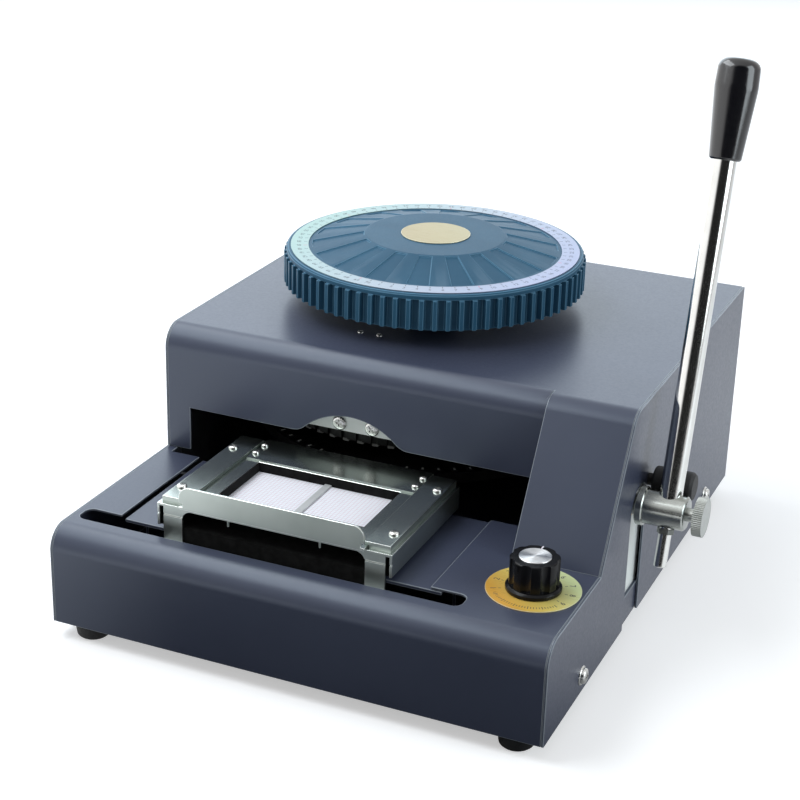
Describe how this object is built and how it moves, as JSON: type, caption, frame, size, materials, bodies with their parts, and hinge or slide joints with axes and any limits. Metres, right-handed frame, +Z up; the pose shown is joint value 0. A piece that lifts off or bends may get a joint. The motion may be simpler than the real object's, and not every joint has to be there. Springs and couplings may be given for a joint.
{
  "type": "card embosser",
  "caption": "Hand-lever card embosser: dial-turned type discs in a sheet-steel housing, sliding carriage and card tray, spacing knob and leaning lever.",
  "frame": {"origin": "centre of the bounding box at the bottom of the rubber feet", "axes": "+Z up, +Y to the back of the machine, +X to the side with the lever"},
  "size_m": [0.3432, 0.3754, 0.3335],
  "materials": {
    "casing_paint": "fine matt powder coat, dark slate blue",
    "black_rubber": "matt black",
    "bright_screws": "bright plated",
    "frame_steel": "milled",
    "pale_block": "pale cast",
    "brass_bush": "turned",
    "dark_disc": "blackened",
    "punch_steel": "polished",
    "dial_plastic": "moulded teal blue",
    "scale_foil": "pale pearl foil",
    "gold_foil": "brushed gold foil",
    "handle_chrome": "nickel plated",
    "dark_nut": "blackened",
    "black_gloss": "polished black",
    "knurled_nickel": "knurled satin nickel",
    "carriage_steel": "ground stainless",
    "grid_white": "white with a fine grid",
    "spun_aluminium": "spun"
  },
  "bodies": {
    "housing": {"base_pan": "casing_paint", "rubber_feet": "black_rubber", "foot_screws": "bright_screws", "front_deck_cover": "casing_paint", "left_side_panel": "casing_paint", "right_side_panel": "casing_paint", "housing_cover": "casing_paint", "back_panel": "casing_paint", "cover_screws": "bright_screws", "deck_bridge": "casing_paint", "guide_rods": "frame_steel", "rod_brackets": "frame_steel", "left_frame_plate": "frame_steel", "right_frame_plate": "frame_steel", "top_bridge": "frame_steel", "press_beam": "frame_steel", "bearing_bushes": "brass_bush", "anvil_block": "frame_steel", "shaft_bearing_block": "pale_block", "ram_guide": "frame_steel", "ram_cover_plate": "pale_block", "ram_cover_screws": "bright_screws", "stop_bumper": "black_rubber", "knob_scale_plate": "gold_foil", "return_spring": "frame_steel", "pinion_stud": "frame_steel", "spindle_post": "frame_steel"},
    "dial": {"dial_wheel": "dial_plastic", "dial_scale_ring": "scale_foil", "dial_badge": "gold_foil", "type_spindle": "frame_steel", "upper_type_disc": "dark_disc", "lower_die_disc": "dark_disc", "type_punches": "punch_steel"},
    "handle": {"handle_hub": "handle_chrome", "handle_rod": "handle_chrome", "handle_nut": "dark_nut", "handle_grip": "black_gloss", "main_shaft": "frame_steel", "press_cam": "frame_steel"},
    "clamp": {"thumb_screw": "knurled_nickel"},
    "press_arm": {"press_arm": "frame_steel", "press_arm_shaft": "frame_steel", "follower_arm": "frame_steel"},
    "ram": {"ram": "frame_steel"},
    "carriage": {"carriage_base": "carriage_steel", "guide_strips": "carriage_steel", "strip_screws": "bright_screws", "front_slider": "frame_steel", "rear_slider": "frame_steel", "feed_rack": "frame_steel"},
    "tray": {"card_tray": "carriage_steel", "tray_clamp_plate": "carriage_steel", "tray_screws": "bright_screws", "grid_insert": "grid_white", "divider_bar": "carriage_steel"},
    "knob": {"spacing_knob": "black_gloss", "knob_cap": "spun_aluminium", "spacing_spindle": "frame_steel"},
    "pinion": {"feed_pinion": "frame_steel"}
  },
  "joints": [
    {"name": "dial_turn", "type": "hinge", "parent": "housing", "child": "dial", "pos_m": [-0.0429, 0.0695, 0.16], "axis": [0, 0, 1], "continuous": true},
    {"name": "handle_pull", "type": "hinge", "parent": "housing", "child": "handle", "pos_m": [0.1499, -0.0387, 0.086], "axis": [1, 0, 0], "range_deg": [0, 66]},
    {"name": "press_arm_rock", "type": "hinge", "parent": "housing", "child": "press_arm", "pos_m": [-0.0429, 0.0119, 0.1316], "axis": [1, 0, 0], "range_deg": [0, 4.63], "deforming": ["return_spring"]},
    {"name": "ram_press", "type": "slide", "parent": "housing", "child": "ram", "axis": [0, 0, -1], "range_m": [0, 0.00405]},
    {"name": "carriage_slide", "type": "slide", "parent": "housing", "child": "carriage", "axis": [1, 0, 0], "range_m": [-0.043, 0.043]},
    {"name": "tray_slide", "type": "slide", "parent": "carriage", "child": "tray", "axis": [0, 1, 0], "range_m": [0, 0.095]},
    {"name": "knob_turn", "type": "hinge", "parent": "housing", "child": "knob", "pos_m": [0.1027, -0.1312, 0.0699], "axis": [0, 0, 1], "range_deg": [-135, 135]},
    {"name": "clamp_turn", "type": "hinge", "parent": "handle", "child": "clamp", "pos_m": [0.1659, -0.0387, 0.086], "axis": [1, 0, 0], "range_deg": [0, 360]},
    {"name": "feed_pinion_turn", "type": "hinge", "parent": "housing", "child": "pinion", "pos_m": [-0.0429, -0.13367, 0.0495], "axis": [0, 0, 1], "range_deg": [-165, 165]}
  ],
  "couplings": [
    {"joint": "press_arm_rock", "follows": "handle_pull", "ratio": 0.069449},
    {"joint": "ram_press", "follows": "handle_pull", "m_per_rad": 0.0034725},
    {"joint": "feed_pinion_turn", "follows": "carriage_slide", "rad_per_m": 66.667}
  ]
}
